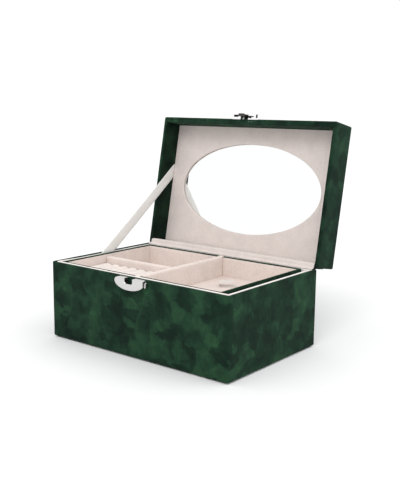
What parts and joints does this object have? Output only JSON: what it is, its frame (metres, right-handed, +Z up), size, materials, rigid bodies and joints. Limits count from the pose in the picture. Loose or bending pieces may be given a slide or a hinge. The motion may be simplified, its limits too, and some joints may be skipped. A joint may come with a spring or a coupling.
{
  "type": "travel jewelry case",
  "caption": "Velvet-wrapped two-layer jewelry case with a mirror lid on a cloth hinge, ribbon stay, half-moon latch and a lift-out tray with ring rolls and divided compartments.",
  "frame": {"origin": "middle of the underside of the base, on the surface it stands on", "axes": "+Z up, +X to the case's right seen from the front, -Y towards the front with the latch; the hinge runs along X at the back"},
  "size_m": [0.23, 0.2173, 0.2348],
  "materials": {
    "green_velvet": "crushed suede-like velvet with a cloudy pile and a soft sheen",
    "beige_suede": "matt flannel suede",
    "board": "raw fibreboard",
    "ring_foam": "soft foam under flannel suede",
    "felt": "dense matt felt",
    "chrome": "bright plated casting",
    "spring_steel": "drawn wire",
    "mirror": "silvered glass",
    "satin_ribbon": "woven satin ribbon"
  },
  "bodies": {
    "base": {"base_back_board": "board", "base_back_liner": "beige_suede", "base_bottom_felt": "felt", "base_floor_board": "board", "base_floor_pad": "beige_suede", "base_front_board": "board", "base_front_liner": "beige_suede", "base_left_board": "board", "base_left_liner": "beige_suede", "base_right_board": "board", "base_right_liner": "beige_suede", "base_velvet_wrap": "green_velvet", "hinge_cloth_inner": "beige_suede", "hinge_velvet": "green_velvet", "latch_back_plate": "chrome", "latch_body": "chrome", "latch_spring": "spring_steel", "ribbon_stay": "satin_ribbon", "tray_ledge_back": "beige_suede", "tray_ledge_front": "beige_suede", "tray_ledge_left": "beige_suede", "tray_ledge_right": "beige_suede"},
    "latch_slider": {"latch_slider": "chrome"},
    "tray": {"ring_roll_1": "ring_foam", "ring_roll_2": "ring_foam", "ring_roll_3": "ring_foam", "ring_roll_4": "ring_foam", "ring_roll_5": "ring_foam", "ring_roll_6": "ring_foam", "ring_roll_7": "ring_foam", "ring_roll_8": "ring_foam", "tray_back_board": "board", "tray_floor_board": "board", "tray_front_board": "board", "tray_left_board": "board", "tray_lining": "beige_suede", "tray_pad_left": "beige_suede", "tray_pad_right": "beige_suede", "tray_right_board": "board", "tray_velvet_wrap": "green_velvet", "long_divider": "beige_suede", "cross_divider": "beige_suede", "pull_loop": "satin_ribbon"},
    "lid": {"catch_hook": "chrome", "catch_plate": "chrome", "lid_back_board": "board", "lid_front_board": "board", "lid_inner_velvet": "green_velvet", "lid_left_board": "board", "lid_right_board": "board", "lid_top_board": "board", "lid_velvet_wrap": "green_velvet", "mirror": "mirror", "mirror_mat": "beige_suede"}
  },
  "joints": [
    {"name": "lid_hinge", "type": "hinge", "parent": "base", "child": "lid", "pos_m": [0, 0.0753, 0.08115], "axis": [1, 0, 0], "range_deg": [0, 100.8], "deforming": ["hinge_velvet", "hinge_cloth_inner", "ribbon_stay"]},
    {"name": "tray_lift", "type": "slide", "parent": "base", "child": "tray", "axis": [0, 0, 1], "range_m": [0, 0.0248]},
    {"name": "latch_slide", "type": "slide", "parent": "base", "child": "latch_slider", "axis": [1, 0, 0], "range_m": [0, 0.0021], "stiffness_N_per_m": 300, "springref_m": -0.0005, "deforming": ["latch_spring"]}
  ]
}
